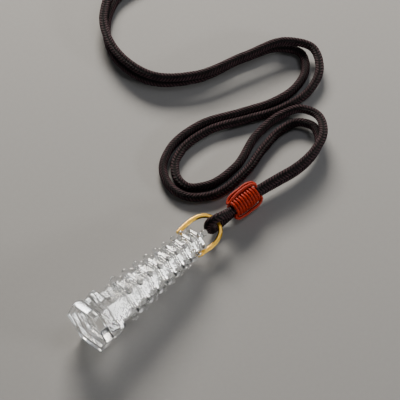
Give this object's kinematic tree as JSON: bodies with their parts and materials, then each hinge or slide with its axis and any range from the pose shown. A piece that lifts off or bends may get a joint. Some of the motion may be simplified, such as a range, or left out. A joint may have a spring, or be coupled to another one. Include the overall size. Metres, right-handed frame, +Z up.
{
  "type": "pagoda pendant",
  "caption": "Clear faceted crystal tower with stepped eaves, hung from a flat arched bail on a looped braided cord with a wound slide knot.",
  "frame": {"origin": "on the surface it lies on, under the middle of the box of the tower and its bail", "axes": "+X along the tower from its foot towards its tip and the bail, +Z up, +Y towards the side where the cord is laid"},
  "size_m": [0.1558, 0.0885, 0.0145],
  "materials": {
    "crystal": "polished clear",
    "bail_metal": "satin face, polished edges",
    "knot_thread": "waxed thread",
    "cord_braid": "fine braid, soft sheen"
  },
  "bodies": {
    "root": {"pagoda": "crystal", "bail": "bail_metal", "bail_pin": "bail_metal", "slide_knot": "knot_thread", "neck_cord": "cord_braid"}
  },
  "joints": []
}
